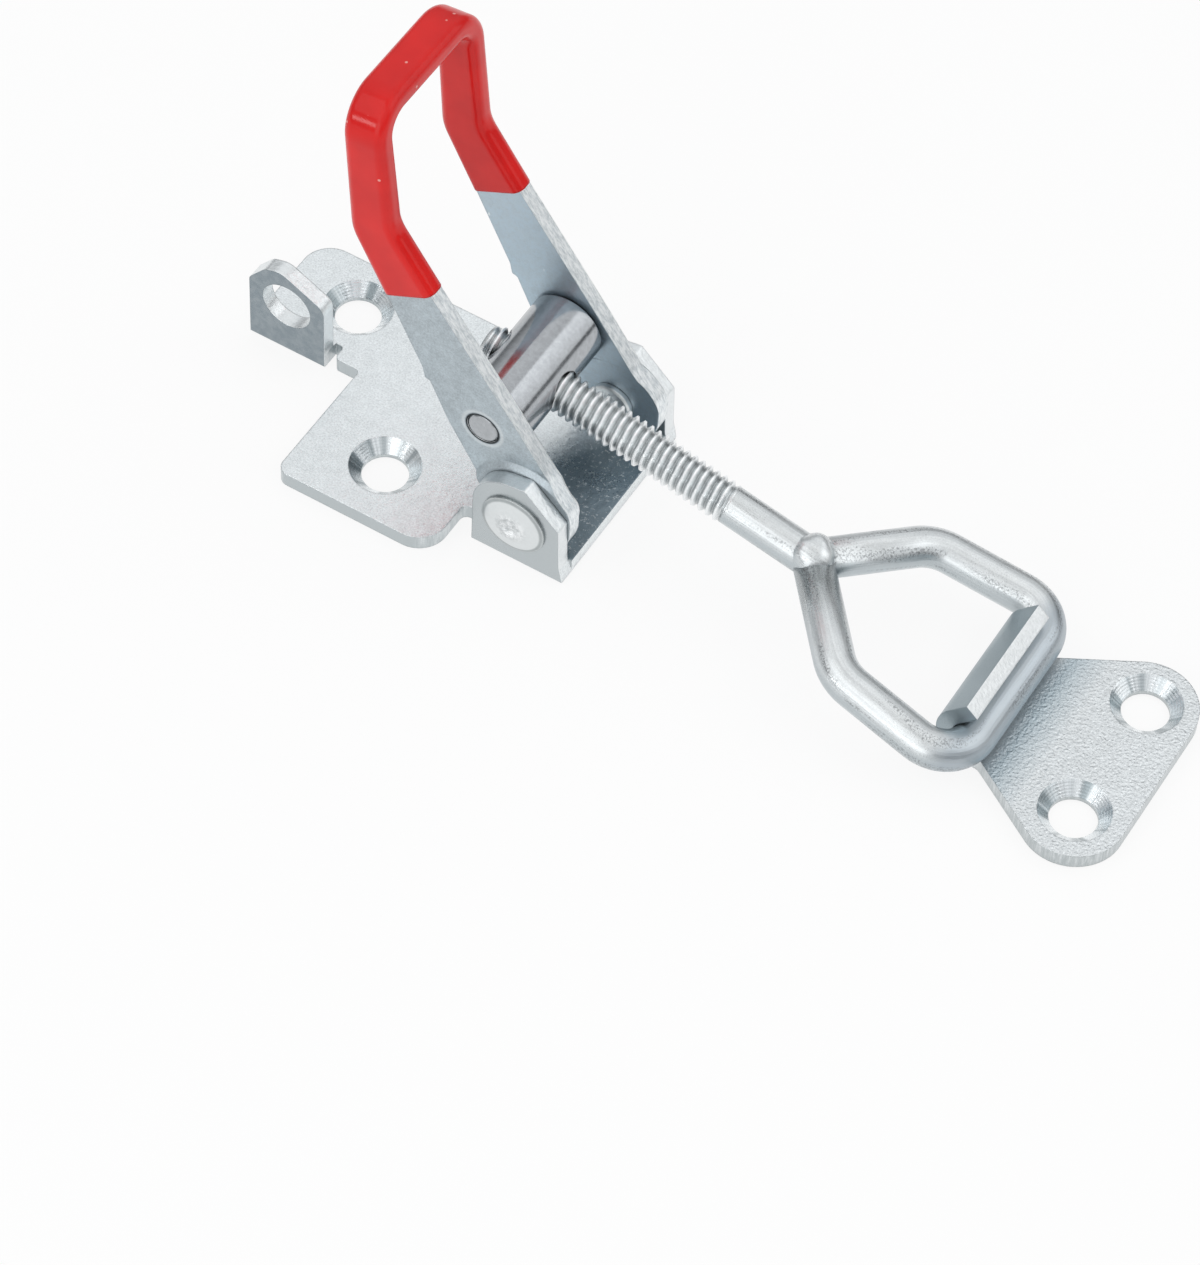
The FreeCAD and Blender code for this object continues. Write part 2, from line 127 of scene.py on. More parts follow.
# Fineness of the rod's mesh
ROD_POINTS = 48
RINGS_PER_PITCH = 24
WIRE_POINTS = 44
SHOULDER_STEPS = 14
CORNER_STEPS = 20
WELD_POINTS = 40
WELD_STEPS = 26

# Stage, lamps and camera, in metres, degrees and lens millimetres
FLOOR_HALF = 6.0
FLOOR_Z = -0.0003
FLOOR_GLOW = 0.86
AIM = (0.02, 0.0, 0.03)
KEY = Vector((-0.25, -0.55, 0.75))
RIM = (0.68, 0.32, 0.52)
FILL = (0.05, -0.95, 0.30)
SPARK = (-0.49, -0.87, 0.32)
GRIP_BEND = (-0.027, -0.012, 0.072)
CAMERA = Vector((0.215207, -0.388727, 0.553625))
AZIMUTH = 28.243
ELEVATION = 52.940
ROLL = 3.836
LENS = 146.6
SENSOR = 36.0


# Shader helpers; noise scales are per metre

def new_material(name):
    mat = bpy.data.materials.new(name)
    mat.use_nodes = True
    tree = mat.node_tree
    tree.nodes.clear()
    out = tree.nodes.new("ShaderNodeOutputMaterial")
    shader = tree.nodes.new("ShaderNodeBsdfPrincipled")
    tree.links.new(shader.outputs["BSDF"], out.inputs["Surface"])
    return mat, tree, shader


def node(tree, kind, inputs=None, **settings):
    made = tree.nodes.new(kind)
    for key, value in settings.items():
        setattr(made, key, value)
    for key, value in (inputs or {}).items():
        if isinstance(value, bpy.types.NodeSocket):
            tree.links.new(value, made.inputs[key])
        else:
            made.inputs[key].default_value = value
    return made


def maths(tree, operation, a, b=0.0):
    return node(tree, "ShaderNodeMath", {0: a, 1: b}, operation=operation).outputs[0]


def times(tree, first, *others):
    for other in others:
        first = maths(tree, "MULTIPLY", first, other)
    return first


def vector_maths(tree, operation, a, b=(0, 0, 0)):
    made = node(tree, "ShaderNodeVectorMath", {0: a, 1: b}, operation=operation)
    return made.outputs["Value" if operation in ("LENGTH", "DOT_PRODUCT") else "Vector"]


def part_of(tree, vector, axis):
    return node(tree, "ShaderNodeSeparateXYZ", {0: vector}).outputs[axis]


def offset(tree, place, centre, keep):
    """Vector from centre to place with only the kept axes."""
    return vector_maths(tree, "MULTIPLY", vector_maths(tree, "SUBTRACT", place, centre), keep)


def noise(tree, vector, scale, detail, rough):
    return node(tree, "ShaderNodeTexNoise",
                {"Vector": vector, "Scale": scale, "Detail": detail, "Roughness": rough}).outputs["Fac"]


def stretched_noise(tree, vector, scales, detail, rough):
    """Noise with its own scale on each axis."""
    return noise(tree, vector_maths(tree, "MULTIPLY", vector, scales), 1.0, detail, rough)


def sparse_spots(tree, vector, scale, outer, inner, rarity):
    """Round spots, full within inner and gone at outer, in the few cells whose chance is above rarity."""
    cells = node(tree, "ShaderNodeTexVoronoi", {"Vector": vector, "Scale": scale})
    chance = node(tree, "ShaderNodeSeparateColor", {0: cells.outputs["Color"]}).outputs[0]
    return times(tree, span(tree, cells.outputs["Distance"], outer, inner),
                 span(tree, chance, rarity, rarity + 0.02))


def span(tree, value, low, high, to_low=0.0, to_high=1.0):
    """Value mapped from low..high to to_low..to_high, held at the ends."""
    return node(tree, "ShaderNodeMapRange",
                {"Value": value, "From Min": low, "From Max": high, "To Min": to_low, "To Max": to_high},
                clamp=True).outputs["Result"]


def band(tree, value, low, low_full, high_full, high):
    """One between low_full and high_full, falling to zero at low and at high."""
    return times(tree, span(tree, value, low, low_full), span(tree, value, high, high_full))


def blend_colour(tree, factor, a, b):
    # Inputs 6 and 7 of this node are its two colours, and output 2 is their blend
    return node(tree, "ShaderNodeMix", {0: factor, 6: a, 7: b}, data_type="RGBA").outputs[2]


def bump(tree, height, strength, distance, normal=None):
    made = node(tree, "ShaderNodeBump", {"Height": height, "Strength": strength, "Distance": distance})
    if normal is not None:
        tree.links.new(normal, made.inputs["Normal"])
    return made.outputs["Normal"]


def soft_edges(tree, radius):
    return node(tree, "ShaderNodeBevel", {"Radius": radius}, samples=4).outputs["Normal"]


def facing(tree, axis):
    """One part of the true surface normal on the object's own axes, -1 to 1."""
    true_normal = node(tree, "ShaderNodeNewGeometry").outputs["True Normal"]
    local = node(tree, "ShaderNodeVectorTransform", {"Vector": true_normal}, vector_type="NORMAL",
                 convert_from="WORLD", convert_to="OBJECT").outputs["Vector"]
    return part_of(tree, local, axis)


def normal_part(tree, axis):
    """Size of one part of the true surface normal, 0 to 1."""
    return maths(tree, "ABSOLUTE", facing(tree, axis))


def relink(tree, shader, socket, factor, other):
    """Blends what feeds a shader socket towards other by factor."""
    old = shader.inputs[socket].links[0].from_socket
    if socket == "Base Color":
        mixed = blend_colour(tree, factor, old, other)
    else:
        kept = times(tree, old, maths(tree, "SUBTRACT", 1.0, factor))
        mixed = maths(tree, "ADD", kept, times(tree, factor, other))
    tree.links.new(mixed, shader.inputs[socket])


def face_tone(tree, shader, mask, colour):
    relink(tree, shader, "Base Color", mask, colour)


def add_bump(tree, shader, height, depth_mm):
    old = shader.inputs["Normal"].links[0].from_socket
    tree.links.new(bump(tree, height, 1.0, depth_mm * MM, old), shader.inputs["Normal"])


# Materials

def steel(name, colour, rough, grain_mm, depth_mm, blotch=0.04, edge_mm=0.3, crease_shade=0.5, speckle=0.06,
          mottle=0.03):
    """Zinc plated steel: faint blotches and patches, a fine grain, soft edges and painted shade in creases."""
    mat, tree, shader = new_material(name)
    place = node(tree, "ShaderNodeTexCoord").outputs["Object"]
    fine = noise(tree, place, 1.0 / (grain_mm * MM), 3.0, 0.6)
    broad = noise(tree, place, BLOTCH_SCALE, 3.0, 0.5)
    patches = noise(tree, place, PATCH_SCALE, 4.0, 0.7)
    tone = maths(tree, "ADD", span(tree, broad, 0.3, 0.7, 1.0 - blotch, 1.0),
                 span(tree, fine, 0.36, 0.64, -speckle, speckle))
    tone = maths(tree, "ADD", tone, span(tree, patches, 0.36, 0.64, -mottle, mottle))
    # Painted shade: the colour darkens where ambient occlusion finds a crease or a part close by
    near = node(tree, "ShaderNodeAmbientOcclusion", {"Distance": CREASE_SHADE_REACH}, samples=6).outputs["AO"]
    tone = times(tree, tone, span(tree, near, 0.25, 0.85, 1.0 - crease_shade, 1.0))
    scaled = node(tree, "ShaderNodeVectorMath", {0: colour, "Scale": tone},
                  operation="SCALE").outputs["Vector"]
    roughness = maths(tree, "ADD", span(tree, fine, 0.3, 0.7, rough - 0.05, rough + 0.05),
                      span(tree, broad, 0.35, 0.65, -0.04, 0.04))
    soft = soft_edges(tree, edge_mm * MM) if edge_mm else None
    shader.inputs["Metallic"].default_value = 1.0
    tree.links.new(scaled, shader.inputs["Base Color"])
    tree.links.new(roughness, shader.inputs["Roughness"])
    tree.links.new(bump(tree, fine, 1.0, depth_mm * MM, soft), shader.inputs["Normal"])
    return mat, tree, shader, place


def turned_sinks(tree, shader, place, mount, half):
    """Turned cones of a pair of screw holes: fine rings, with painted reflection in light and dark sectors."""
    middle = Vector(MOUNTS[mount]["pos_m"])
    cone = band(tree, normal_part(tree, 2), 0.5, 0.55, 0.85, 0.9)
    for number, centre in enumerate((middle + half, middle - half)):
        off = offset(tree, place, centre, (1, 1, 0))
        far = vector_maths(tree, "LENGTH", off)
        here = times(tree, cone, span(tree, far, *SINK_OUTSIDE))
        rings = maths(tree, "SINE", times(tree, far, 2 * math.pi / SINK_RING_PITCH))
        add_bump(tree, shader, times(tree, rings, here), 0.004)
        # The shift gives each hole its own sectors of painted reflection
        way = vector_maths(tree, "NORMALIZE", off)
        shifted = vector_maths(tree, "ADD", way, (3.7 * number, 1.3, 0.4))
        sector_reflection = span(tree, noise(tree, shifted, 1.9, 3.0, 0.6), 0.39, 0.56)
        relink(tree, shader, "Roughness", here, 0.25)
        # Painted reflection: each cone is light and dark by sector
        face_tone(tree, shader, times(tree, here, 0.85),
                  blend_colour(tree, sector_reflection, (0.24, 0.29, 0.31, 1), (0.90, 0.94, 0.96, 1)))


def punched(tree, shader, place, edge, scales, colour):
    """Sheared edge faces: fine bright and dark lines that run the way of the lowest scale."""
    lines = stretched_noise(tree, place, scales, 3.0, 0.65)
    add_bump(tree, shader, times(tree, lines, edge), 0.05)
    face_tone(tree, shader, times(tree, edge, span(tree, lines, 0.35, 0.6, 0.35, 1.0)), colour)
    relink(tree, shader, "Roughness", times(tree, edge, 0.5), 0.3)


def base_material():
    """Satin plate with painted shade on its ears, painted shade from the rod between them, sheared edges and
    turned screw holes.
    """
    mat, tree, shader, place = steel("base steel", (0.82, 0.86, 0.875), rough=0.32, grain_mm=0.28,
                                     depth_mm=0.020, blotch=0.08, crease_shade=0.3, speckle=0.12, mottle=0.04)
    x, y, z = (part_of(tree, place, axis) for axis in range(3))
    ny, nz = normal_part(tree, 1), normal_part(tree, 2)
    # Painted shade on the broad faces of the ears, darkest and mottled on the padlock ear at the tail
    upright_shade = span(tree, ny, 0.8, 0.95)
    face_tone(tree, shader, upright_shade, (0.50, 0.54, 0.555, 1))
    tail_ear_shade = times(tree, upright_shade, span(tree, x, *TAIL_EAR_X))
    tail_shade_mottle = span(tree, noise(tree, place, 800.0, 4.0, 0.7), 0.40, 0.62, 1.0, 0.75)
    face_tone(tree, shader, times(tree, tail_ear_shade, tail_shade_mottle), (0.25, 0.295, 0.325, 1))
    # Painted shade from the rod above: the plate between the ears is darkened to a blue-grey towards its front
    slanted = maths(tree, "SUBTRACT", x, times(tree, y, 0.6))
    rod_shade = times(tree, span(tree, slanted, *ROD_SHADE_SLANT), span(tree, nz, 0.8, 0.95),
                 span(tree, maths(tree, "ABSOLUTE", y), *ROD_SHADE_Y), span(tree, x, *ROD_SHADE_X))
    rod_shade_speckle = span(tree, noise(tree, place, 2200.0, 2.0, 0.7), 0.66, 0.58, 0.35, 0.95)
    face_tone(tree, shader, times(tree, rod_shade, rod_shade_speckle), (0.22, 0.28, 0.32, 1))
    # Sheared edges of the ears, then of the plate behind them, but for where the padlock ear bends up
    ears = times(tree, span(tree, z, *EAR_EDGES_Z), span(tree, ny, 0.6, 0.4))
    punched(tree, shader, place, ears, UPRIGHT_SHEAR, (0.82, 0.85, 0.86, 1))
    rim = times(tree, span(tree, nz, 0.6, 0.4), span(tree, z, *BASE_RIM_Z), span(tree, x, *BASE_RIM_X))
    bend = times(tree, span(tree, x, *TAIL_BEND_X), span(tree, y, *TAIL_BEND_Y))
    cut = times(tree, rim, maths(tree, "SUBTRACT", 1.0, bend))
    punched(tree, shader, place, cut, LEVEL_SHEAR, (0.50, 0.545, 0.56, 1))
    turned_sinks(tree, shader, place, "base_holes", BASE_HOLES_HALF)
    # Small pits and a slight unevenness all over
    pits = node(tree, "ShaderNodeTexVoronoi", {"Vector": place, "Scale": 900.0}).outputs["Distance"]
    add_bump(tree, shader, span(tree, pits, 0.0, 0.16), 0.004)
    add_bump(tree, shader, noise(tree, place, 1100.0, 2.0, 0.5), 0.05)
    return mat


def lever_material():
    """Darker satin strip with bright sheared edges, a few nicks, painted light on the far arm, and a painted
    shaded gap and a painted highlight ring round the spigots.
    """
    mat, tree, shader, place = steel("lever steel", (0.475, 0.535, 0.57), rough=0.42, grain_mm=0.26,
                                     depth_mm=0.018, blotch=0.08, speckle=0.12, mottle=0.07)
    # Painted light: the broad faces of the far arm are paler and bluer
    far_arm_light = times(tree, span(tree, part_of(tree, place, 1), *FAR_ARM_Y),
                     span(tree, normal_part(tree, 1), 0.8, 0.95))
    grain = span(tree, noise(tree, place, 1500.0, 3.0, 0.7), 0.38, 0.60, 0.95, 0.55)
    face_tone(tree, shader, times(tree, far_arm_light, grain), (0.49, 0.59, 0.665, 1))
    # Painted shade of a dark gap and a painted highlight on a ring round the barrel's spigots
    far = vector_maths(tree, "LENGTH", offset(tree, place, BARREL, (1, 0, 1)))
    face_tone(tree, shader, band(tree, far, *SPIGOT_GAP_SHADE), (0.03, 0.035, 0.04, 1))
    face_tone(tree, shader, times(tree, band(tree, far, *SPIGOT_RING_HIGHLIGHT), 0.5), (0.75, 0.78, 0.79, 1))
    long_way = vector_maths(tree, "MULTIPLY", place, (420.0, 420.0, 230.0))
    nicks = sparse_spots(tree, long_way, 1.0, 0.11, 0.06, 0.86)
    face_tone(tree, shader, times(tree, nicks, 0.7), (0.85, 0.88, 0.89, 1))
    punched(tree, shader, place, span(tree, normal_part(tree, 1), 0.5, 0.3), UPRIGHT_SHEAR,
            (0.92, 0.95, 0.96, 1))
    return mat


def catch_material():
    """Orange-peel plate with painted shade towards and on the hook, sheared edges and turned screw holes."""
    mat, tree, shader, place = steel("catch steel", (0.80, 0.835, 0.85), rough=0.34, grain_mm=0.26,
                                     depth_mm=0.016, speckle=0.11)
    x, z, nz = part_of(tree, place, 0), part_of(tree, place, 2), normal_part(tree, 2)
    # Orange peel on the flat plate, and on the rest of the catch a trace of it
    flat = times(tree, span(tree, nz, 0.9, 0.97), span(tree, x, *CATCH_FLAT_X))
    peel = noise(tree, place, 2300.0, 2.0, 0.55)
    add_bump(tree, shader, times(tree, peel, span(tree, flat, 0.0, 1.0, 0.12, 1.0)), 0.21)
    # Painted shade: the plate darkens towards the hook, which is painted darker still
    shade = span(tree, x, *CATCH_SHADE_X, 0.0, 0.75)
    face_tone(tree, shader, times(tree, shade, flat), (0.36, 0.47, 0.53, 1))
    hook = times(tree, span(tree, x, *HOOK_X), span(tree, z, *HOOK_Z))
    # Painted shade on the hook's flanks
    face_tone(tree, shader, hook, (0.34, 0.40, 0.43, 1))
    # The cut end of the rolled lip looks up and to the front, and shows the shear's lines
    end = times(tree, hook, span(tree, facing(tree, 0), 0.4, 0.6))
    face_tone(tree, shader, end, (0.72, 0.75, 0.76, 1))
    punched(tree, shader, place, end, LIP_SHEAR, (0.88, 0.91, 0.92, 1))
    rim = times(tree, span(tree, nz, 0.4, 0.25), span(tree, x, *CATCH_RIM_X))
    punched(tree, shader, place, rim, LEVEL_SHEAR, (0.48, 0.52, 0.53, 1))
    turned_sinks(tree, shader, place, "catch_holes", CATCH_HOLES_HALF)
    return mat


def rivet_material():
    """Bright head with a painted highlight on its dome, a rough pressed middle with painted glints, and painted
    shade in a ring at its edge.
    """
    mat, tree, shader, place = steel("rivet steel", (0.56, 0.595, 0.60), rough=0.34, grain_mm=0.6,
                                     depth_mm=0.012)
    far = vector_maths(tree, "LENGTH", offset(tree, place, PIVOT, (1, 0, 1)))
    head_highlight, middle = span(tree, far, *RIVET_HEAD), span(tree, far, *RIVET_MIDDLE)
    pressed = noise(tree, place, 1500.0, 3.0, 0.7)
    add_bump(tree, shader, times(tree, pressed, middle), 0.3)
    fleck_glints = span(tree, noise(tree, place, 900.0, 3.0, 0.7), 0.42, 0.58)
    # Painted highlight over the head's dome
    face_tone(tree, shader, times(tree, head_highlight, 0.6), (0.86, 0.89, 0.90, 1))
    # Painted glints in flecks on the pressed middle
    face_tone(tree, shader, times(tree, middle, 0.8),
              blend_colour(tree, fleck_glints, (0.60, 0.63, 0.64, 1), (0.95, 0.97, 0.98, 1)))
    # Painted shade in a ring at the head's edge
    face_tone(tree, shader, times(tree, band(tree, far, *RIVET_RING), 0.5), (0.27, 0.30, 0.31, 1))
    return mat


def barrel_material():
    """Bright turned steel with faint streaks along it."""
    mat, tree, shader, place = steel("barrel steel", (0.43, 0.45, 0.47), rough=0.13, grain_mm=0.8,
                                     depth_mm=0.0015, blotch=0.03, edge_mm=0.2)
    streaks = stretched_noise(tree, place, (700.0, 60.0, 700.0), 3.0, 0.6)
    relink(tree, shader, "Roughness", 0.5, span(tree, streaks, 0.3, 0.7, 0.14, 0.30))
    return mat


def rod_material():
    """Plated wire: drawn lines along it, dark specks in worn patches, painted shade on its flanks and in the
    thread's roots, and painted highlights on the thread's crests.
    """
    mat, tree, shader, place = steel("rod steel", (0.80, 0.83, 0.84), rough=0.32, grain_mm=0.22,
                                     depth_mm=0.014, blotch=0.06, edge_mm=0.0, crease_shade=0.2, speckle=0.08)
    off = vector_maths(tree, "SUBTRACT", place, BARREL)
    along = vector_maths(tree, "DOT_PRODUCT", off, ALONG)
    plain = span(tree, along, THREAD_END - 0.5 * MM, THREAD_END)
    threaded = maths(tree, "SUBTRACT", 1.0, plain)
    run = node(tree, "ShaderNodeUVMap", uv_map="wire").outputs["UV"]
    lines = stretched_noise(tree, run, (3000.0, 60.0, 0.0), 3.0, 0.6)
    broad = stretched_noise(tree, run, (500.0, 45.0, 0.0), 2.0, 0.5)
    specks = noise(tree, place, 3200.0, 3.0, 0.75)
    worn = times(tree, span(tree, specks, 0.50, 0.58), span(tree, broad, 0.53, 0.59), plain)
    # Painted shade: the flanks of the wire are darker and bluer than its top
    normal = node(tree, "ShaderNodeNewGeometry").outputs["Normal"]
    up = maths(tree, "ABSOLUTE", part_of(tree, normal, 2))
    flank_shade = times(tree, span(tree, up, 0.62, 0.15, 0.0, 0.65), plain)
    face_tone(tree, shader, flank_shade, (0.40, 0.46, 0.49, 1))
    # The bar and the wire just before it are darker and bluer
    bar_tone = span(tree, along, BAR_AT - 4.0 * MM, BAR_AT - 1.0 * MM, 0.0, 0.85)
    face_tone(tree, shader, bar_tone, (0.42, 0.475, 0.52, 1))
    add_bump(tree, shader, times(tree, lines, plain), 0.045)
    drawn = times(tree, span(tree, lines, 0.62, 0.38, 0.0, 0.35), plain)
    face_tone(tree, shader, drawn, (0.46, 0.49, 0.50, 1))
    face_tone(tree, shader, times(tree, worn, 0.6), (0.16, 0.17, 0.18, 1))
    # The distance from the rod's line tells the thread's roots from its crests
    length = vector_maths(tree, "LENGTH", off)
    radius = maths(tree, "SQRT", maths(tree, "SUBTRACT", maths(tree, "POWER", length, 2.0),
                                       maths(tree, "POWER", along, 2.0)))
    root_shade = times(tree, span(tree, radius, ROOT_R + 0.35 * MM, ROOT_R + 0.05 * MM), threaded)
    # Painted shade in the thread's roots
    face_tone(tree, shader, times(tree, root_shade, 0.4), (0.20, 0.22, 0.23, 1))
    crest_highlight = span(tree, radius, ROD_R - 0.3 * MM, ROD_R - 0.05 * MM, 0.0, 0.9)
    # Painted highlight on the thread's crests
    face_tone(tree, shader, times(tree, crest_highlight, threaded), (0.96, 0.98, 0.99, 1))
    return mat


def grip_material():
    """Dipped soft plastic: even red, glossy, slightly wavy, with a few painted glints as pale specks."""
    mat, tree, shader = new_material("grip plastic")
    place = node(tree, "ShaderNodeTexCoord").outputs["Object"]
    wave = noise(tree, place, 160.0, 2.0, 0.5)
    red = blend_colour(tree, span(tree, wave, 0.35, 0.65), (0.63, 0.008, 0.007, 1), (0.71, 0.012, 0.010, 1))
    # Painted glints: a few pale specks
    speck_glints = sparse_spots(tree, place, 330.0, 0.09, 0.05, 0.76)
    tree.links.new(blend_colour(tree, times(tree, speck_glints, 0.7), red, (0.9, 0.5, 0.45, 1)),
                   shader.inputs["Base Color"])
    for socket, value in (("Roughness", 0.3), ("IOR", 1.5), ("Specular IOR Level", 0.12),
                          ("Coat Weight", 0.4), ("Coat Roughness", 0.10)):
        shader.inputs[socket].default_value = value
    tree.links.new(bump(tree, wave, 1.0, 0.12 * MM, soft_edges(tree, 0.6 * MM)), shader.inputs["Normal"])
    return mat


# The threaded rod and its loop

def mesh_object(name, verts, faces, smooth=True, corners=None):
    """Mesh object; corners gives (across, along) in metres for each corner of each face."""
    mesh = bpy.data.meshes.new(name)
    mesh.from_pydata(verts, [], faces)
    if corners:
        layer = mesh.uv_layers.new(name="wire")
        layer.data.foreach_set("uv", [v for face in corners for uv in face for v in uv])
    if smooth:
        # The end faces of tubes have more than four corners and stay flat
        mesh.polygons.foreach_set("use_smooth", [len(face) < 5 for face in faces])
    made = bpy.data.objects.new(name, mesh)
    bpy.context.scene.collection.objects.link(made)
    return made


def across():
    """Unit vectors square to the rod: level one first."""
    level = Vector((0, 1, 0))
    level = (level - ALONG * level.dot(ALONG)).normalized()
    return level, ALONG.cross(level)


def ring_of(centre, first, second, radii):
    """Points round centre in the plane of two unit vectors, one point for each radius."""
    points = []
    for number, radius in enumerate(radii):
        angle = 2 * math.pi * number / len(radii)
        points.append(centre + first * (radius * math.cos(angle)) + second * (radius * math.sin(angle)))
    return points


def tube(rings):
    """Closed tube through rings of points: verts, faces facing outward and their corners."""
    count = len(rings[0])
    verts = [p for ring in rings for p in ring]
    middles = [sum(ring, Vector()) / count for ring in rings]
    girth = 2 * math.pi * (rings[len(rings) // 2][0] - middles[len(rings) // 2]).length
    runs = [0.0]
    for a, b in zip(middles, middles[1:]):
        runs.append(runs[-1] + (b - a).length)
    faces, corners = [], []
    for i in range(len(rings) - 1):
        for j in range(count):
            k = (j + 1) % count
            u, v = girth * j / count, girth * (j + 1) / count
            faces.append((i * count + j, i * count + k, (i + 1) * count + k, (i + 1) * count + j))
            corners.append([(u, runs[i]), (v, runs[i]), (v, runs[i + 1]), (u, runs[i + 1])])
    last = (len(rings) - 1) * count
    faces += [tuple(reversed(range(count))), tuple(last + j for j in range(count))]
    corners += [[(0.0, 0.0)] * count] * 2
    # The first side face shows whether the rings run the other way round
    a, b, c = (verts[n] for n in faces[0][:3])
    if (b - a).cross(c - b).dot(a - middles[0]) < 0:
        faces = [tuple(reversed(face)) for face in faces]
        corners = [list(reversed(face)) for face in corners]
    return verts, faces, corners


def clamp(value):
    return min(1.0, max(0.0, value))


def thread_radius(s, part):
    """Rolled thread: V-shaped ridges on a helix, fading at both ends; part is how far round, 0 to 1."""
    turn = (s / PITCH - part) % 1.0
    ridge = abs(2.0 * turn - 1.0)
    ridge = clamp((ridge - ROOT_FLAT) / (1.0 - ROOT_FLAT - CREST_FLAT))
    # A rolled crest isn't filled: it keeps a shallow seam along its top
    ridge -= SEAM_DEPTH * max(0.0, 1.0 - abs(turn - round(turn)) / SEAM_HALF)
    start = clamp((s + ROD_TAIL) / RUN_IN)
    end = clamp((THREAD_END - s) / RUN_OUT)
    high = ROOT_R + (ROD_R - ROOT_R) * start * ridge
    return (SHANK_R - UNDER_SHANK) * (1 - end) + high * end


def make_thread():
    level, upward = across()
    length = THREAD_END + ROD_TAIL
    total = int(length / PITCH * RINGS_PER_PITCH)
    rings = []
    for i in range(total + 1):
        s = -ROD_TAIL + length * i / total
        radii = [thread_radius(s, j / ROD_POINTS) for j in range(ROD_POINTS)]
        rings.append(ring_of(BARREL + ALONG * s, level, upward, radii))
    return tube(rings)


def make_shank():
    """Plain part of the rod, from inside the thread's end to inside the weld."""
    level, upward = across()
    stations = (THREAD_END - 0.4 * MM, THREAD_END + 0.2 * MM, JUNCTION - 3 * MM, JUNCTION + 1.2 * MM)
    return tube([ring_of(BARREL + ALONG * s, level, upward, [SHANK_R] * ROD_POINTS) for s in stations])


def bend_points(start, corner, end, radius, count):
    """Points of the round bend at corner, tangent to both straight runs."""
    a, b = (start - corner).normalized(), (end - corner).normalized()
    half = 0.5 * a.angle(b)
    centre = corner + (a + b).normalized() * (radius / math.sin(half))
    first = corner + a * (radius / math.tan(half)) - centre
    last = corner + b * (radius / math.tan(half)) - centre
    sweep = first.angle(last)
    points = []
    for i in range(count + 1):
        t = i / count
        spoke = first * math.sin((1 - t) * sweep) + last * math.sin(t * sweep)
        points.append(centre + spoke / math.sin(sweep))
    return points


def loop_path(way):
    """Half of the wire's middle line, from the weld to the middle of the bar."""
    def at(s, y):
        return BARREL + ALONG * s + Vector((0, way * y, 0))

    junction, shoulder, corner, middle = at(JUNCTION, 0), at(*SHOULDER), at(BAR_AT, LOOP_HALF), at(BAR_AT, 0)
    return [junction, *bend_points(junction, shoulder, corner, SHOULDER_R, SHOULDER_STEPS),
            *bend_points(shoulder, corner, middle, CORNER_R, CORNER_STEPS), middle]


def make_wire():
    """The loop's wire, swept along its bends from the weld round to the weld."""
    path = loop_path(-1) + loop_path(1)[-2::-1]
    plane = ALONG.cross(Vector((0, 1, 0))).normalized()
    rings = []
    for i, point in enumerate(path):
        run = path[min(len(path) - 1, i + 1)] - path[max(0, i - 1)]
        side = run.normalized().cross(plane).normalized()
        rings.append(ring_of(point, side, plane, [WIRE_R] * WIRE_POINTS))
    return tube(rings)


def make_weld():
    """Uneven weld bead over the place where the wire meets the rod."""
    level, upward = across()
    centre = BARREL + ALONG * (JUNCTION + 0.1 * MM) + Vector((0, 0, WELD_RISE))
    rings = []
    for i in range(1, WELD_STEPS):
        t = math.pi * i / WELD_STEPS
        ring = []
        for j in range(WELD_POINTS):
            a = 2 * math.pi * j / WELD_POINTS
            outward = level * math.cos(a) + upward * math.sin(a)
            way = outward * math.sin(t) - ALONG * math.cos(t)
            lumps = (2.0 * math.sin(5.0 * way.x + 1.0) * math.sin(4.0 * way.y)
                     + math.sin(9.0 * way.z + 2.0) * math.sin(8.0 * way.y + 1.0))
            ring.append(centre + way * (WELD_R * (1.0 + WELD_LUMPS * lumps)))
        rings.append(ring)
    return tube(rings)


def make_rod(material):
    verts, faces, corners = [], [], []
    for v, f, c in (make_thread(), make_shank(), make_wire(), make_weld()):
        shift = len(verts)
        verts += v
        faces += [tuple(shift + i for i in face) for face in f]
        corners += c
    rod = mesh_object("threaded_rod_and_loop", verts, faces, True, corners)
    rod.data.materials.append(material)
    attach(rod, "hook_bolt")
    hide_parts("hook_bolt")


# Stage, lights and camera

def make_floor():
    """White floor that is seen as nearly white by itself, and keeps the object's shadow."""
    corners = [(x * FLOOR_HALF, y * FLOOR_HALF, FLOOR_Z) for x, y in ((-1, -1), (1, -1), (1, 1), (-1, 1))]
    floor = mesh_object("floor", corners, [(0, 1, 2, 3)], smooth=False)
    mat, tree, shader = new_material("floor white")
    surface = shader.outputs["BSDF"].links[0].to_socket
    shader.inputs["Base Color"].default_value = (0.9, 0.9, 0.9, 1)
    shader.inputs["Roughness"].default_value = 1.0
    shader.inputs["Specular IOR Level"].default_value = 0.0
    glow = node(tree, "ShaderNodeEmission", {"Color": (1, 1, 1, 1), "Strength": 1.0})
    rays = node(tree, "ShaderNodeLightPath")
    shown = maths(tree, "MAXIMUM", rays.outputs["Is Camera Ray"], rays.outputs["Is Glossy Ray"])
    shown = maths(tree, "MAXIMUM", shown, rays.outputs["Is Transmission Ray"])
    mix = node(tree, "ShaderNodeMixShader",
               {0: times(tree, shown, FLOOR_GLOW), 1: shader.outputs["BSDF"], 2: glow.outputs[0]})
    tree.links.new(mix.outputs[0], surface)
    floor.data.materials.append(mat)


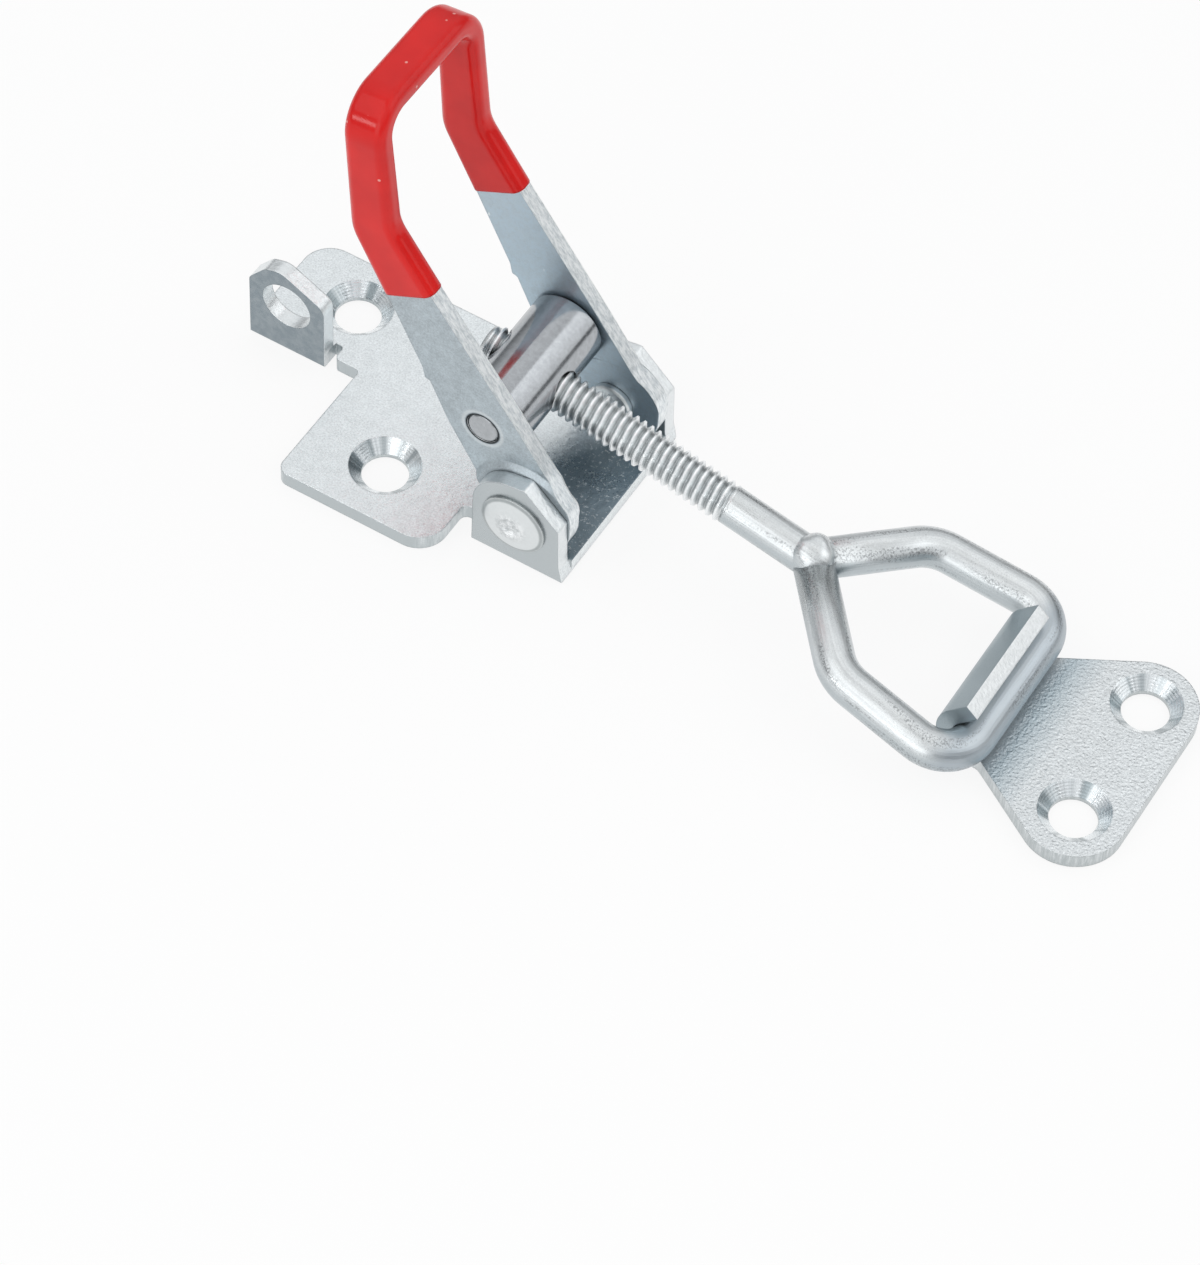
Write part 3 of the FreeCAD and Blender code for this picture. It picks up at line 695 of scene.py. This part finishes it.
def make_world():
    """Bright sky overhead that falls off towards the horizon, most of all on the far right."""
    world = bpy.data.worlds.new("studio")
    bpy.context.scene.world = world
    world.use_nodes = True
    tree = world.node_tree
    tree.nodes.clear()
    out = tree.nodes.new("ShaderNodeOutputWorld")
    way = node(tree, "ShaderNodeTexCoord").outputs["Generated"]
    ramp = node(tree, "ShaderNodeValToRGB", {0: part_of(tree, way, 2)})
    stops = ramp.color_ramp.elements
    stops[0].position, stops[0].color = 0.0, (0.22, 0.24, 0.26, 1)
    stops[1].position, stops[1].color = 1.0, (1.0, 1.0, 1.0, 1)
    for height, level in ((0.12, 0.26), (0.35, 0.55), (0.62, 0.92)):
        stops.new(height).color = (level * 0.985, level, level * 1.015, 1)
    side = vector_maths(tree, "DOT_PRODUCT", way, (0.8, 0.6, 0.0))
    # Behind the key lamp the sky is darker, so that the two don't add up to white on the metal
    lamp = vector_maths(tree, "DOT_PRODUCT", way, KEY.normalized())
    dim = times(tree, span(tree, side, 0.35, 0.85, 1.0, 0.55), span(tree, lamp, 0.75, 0.97, 1.0, 0.35))
    sky = node(tree, "ShaderNodeBackground", {"Color": ramp.outputs[0], "Strength": dim})
    tree.links.new(sky.outputs[0], out.inputs["Surface"])


def area_light(name, place, target, size, watts):
    lamp = bpy.data.lights.new(name, "AREA")
    lamp.shape = "RECTANGLE"
    lamp.size, lamp.size_y = size
    lamp.energy = watts
    made = bpy.data.objects.new(name, lamp)
    bpy.context.scene.collection.objects.link(made)
    made.location = place
    made.rotation_euler = (Vector(target) - Vector(place)).to_track_quat("-Z", "Y").to_euler()


def make_lights():
    area_light("key", KEY, AIM, size=(0.9, 0.7), watts=2.0)
    area_light("rim", RIM, AIM, size=(0.9, 0.8), watts=1.9)
    area_light("fill", FILL, AIM, size=(0.7, 0.5), watts=1.4)
    # A small lamp, seen as a highlight where the grip bends
    area_light("spark", SPARK, GRIP_BEND, size=(0.22, 0.14), watts=0.6)


def make_camera():
    """Camera at its own place, turned by azimuth, elevation and roll."""
    azimuth, elevation, roll = math.radians(AZIMUTH), math.radians(ELEVATION), math.radians(ROLL)
    back = Vector((math.sin(azimuth) * math.cos(elevation), -math.cos(azimuth) * math.cos(elevation),
                   math.sin(elevation)))
    right = Vector((math.cos(azimuth), math.sin(azimuth), 0))
    up = back.cross(right)
    x = right * math.cos(roll) + up * math.sin(roll)
    y = up * math.cos(roll) - right * math.sin(roll)
    data = bpy.data.cameras.new("camera")
    data.sensor_fit = "HORIZONTAL"
    data.sensor_width = SENSOR
    data.lens = LENS
    data.clip_start, data.clip_end = 0.01, 50.0
    camera = bpy.data.objects.new("camera", data)
    camera.matrix_world = Matrix.Translation(CAMERA) @ Matrix((x, y, back)).transposed().to_4x4()
    bpy.context.scene.collection.objects.link(camera)
    bpy.context.scene.camera = camera


def dress(name, material):
    piece = nodes[name]
    piece.data.materials.clear()
    piece.data.materials.append(material)


dress("base_plate", base_material())
rivets = rivet_material()
dress("pivot_rivet_near", rivets)
dress("pivot_rivet_far", rivets)
dress("lever", lever_material())
dress("grip", grip_material())
dress("barrel", barrel_material())
dress("catch_plate", catch_material())
make_rod(rod_material())

make_floor()
make_world()
make_lights()
make_camera()
bpy.context.scene.view_settings.view_transform = "Standard"
